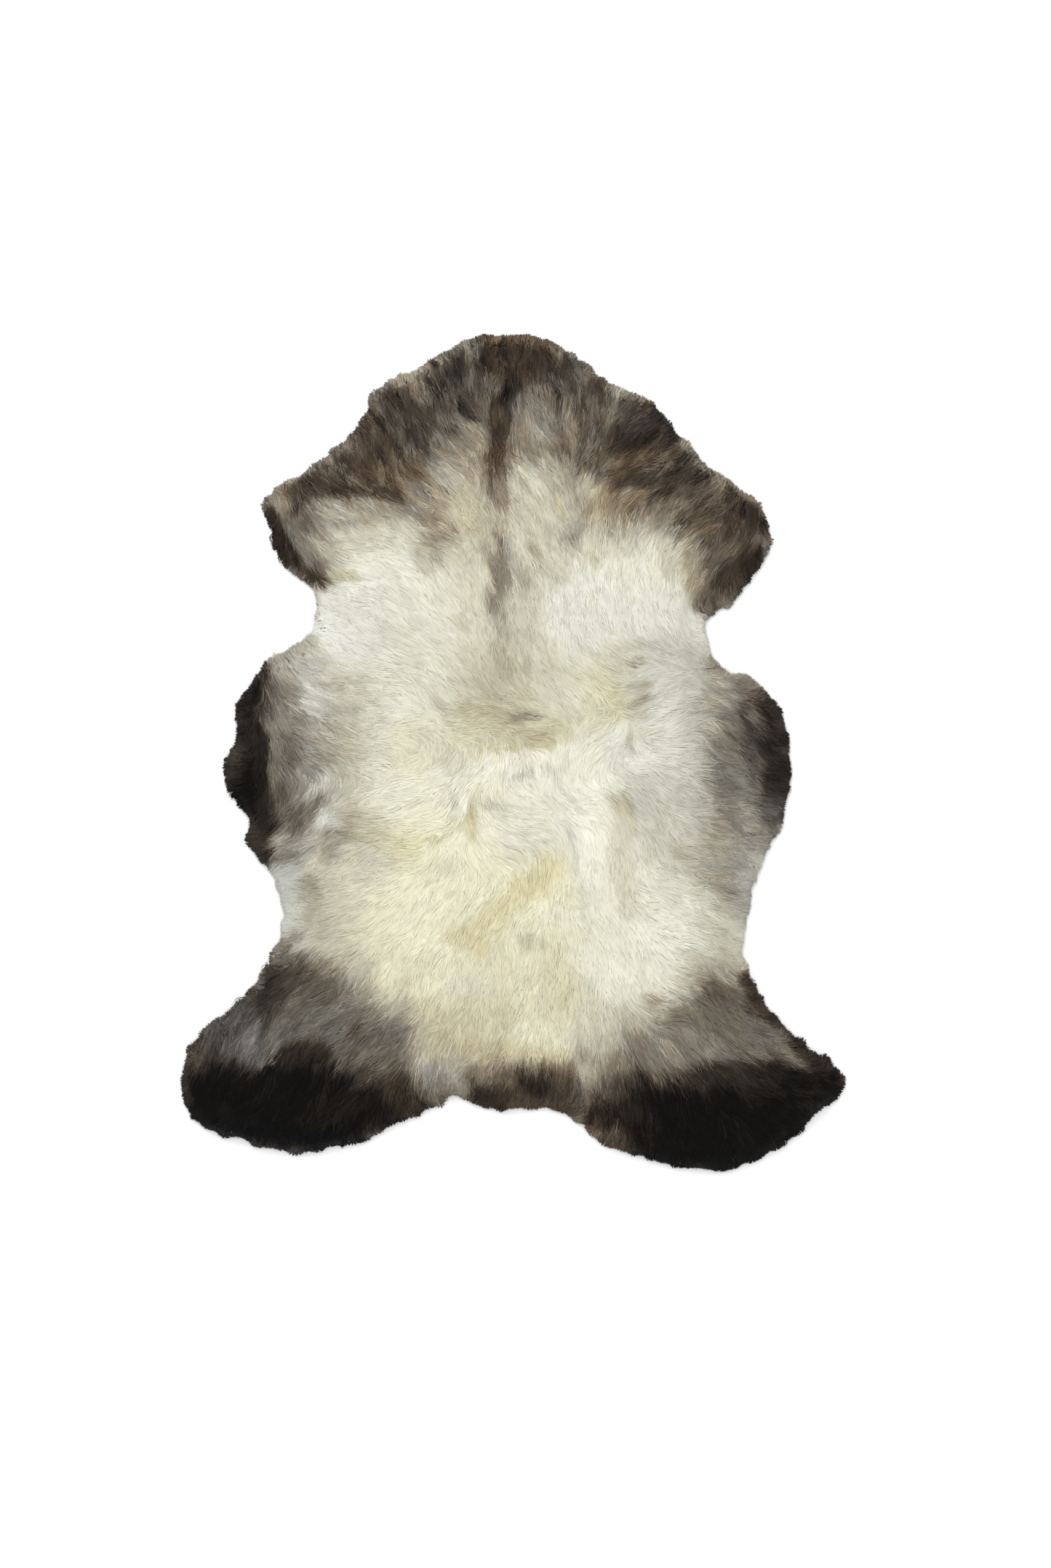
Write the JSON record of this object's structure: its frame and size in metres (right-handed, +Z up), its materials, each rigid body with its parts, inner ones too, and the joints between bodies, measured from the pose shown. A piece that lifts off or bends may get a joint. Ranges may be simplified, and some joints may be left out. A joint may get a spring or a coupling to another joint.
{
  "type": "sheepskin rug",
  "caption": "Whole sheepskin lying flat, wool side up: a tanned pelt in the animal's outline, cream on the back, shading through taupe to near-black at neck, flanks and legs.",
  "frame": {"origin": "on the floor, at the middle of the rug's box seen from above; the skin's underside is z = 0", "axes": "+Y along the back towards the neck, +X to the right when the rug is seen from above with its neck away from the viewer, +Z up out of the wool"},
  "size_m": [0.7928, 0.9992, 0.0458],
  "materials": {
    "wool": "long combed wool, matt with a soft sheen along the strands",
    "skin": "tanned skin, matt pale suede"
  },
  "bodies": {
    "root": {"sheepskin": "wool"}
  },
  "joints": []
}
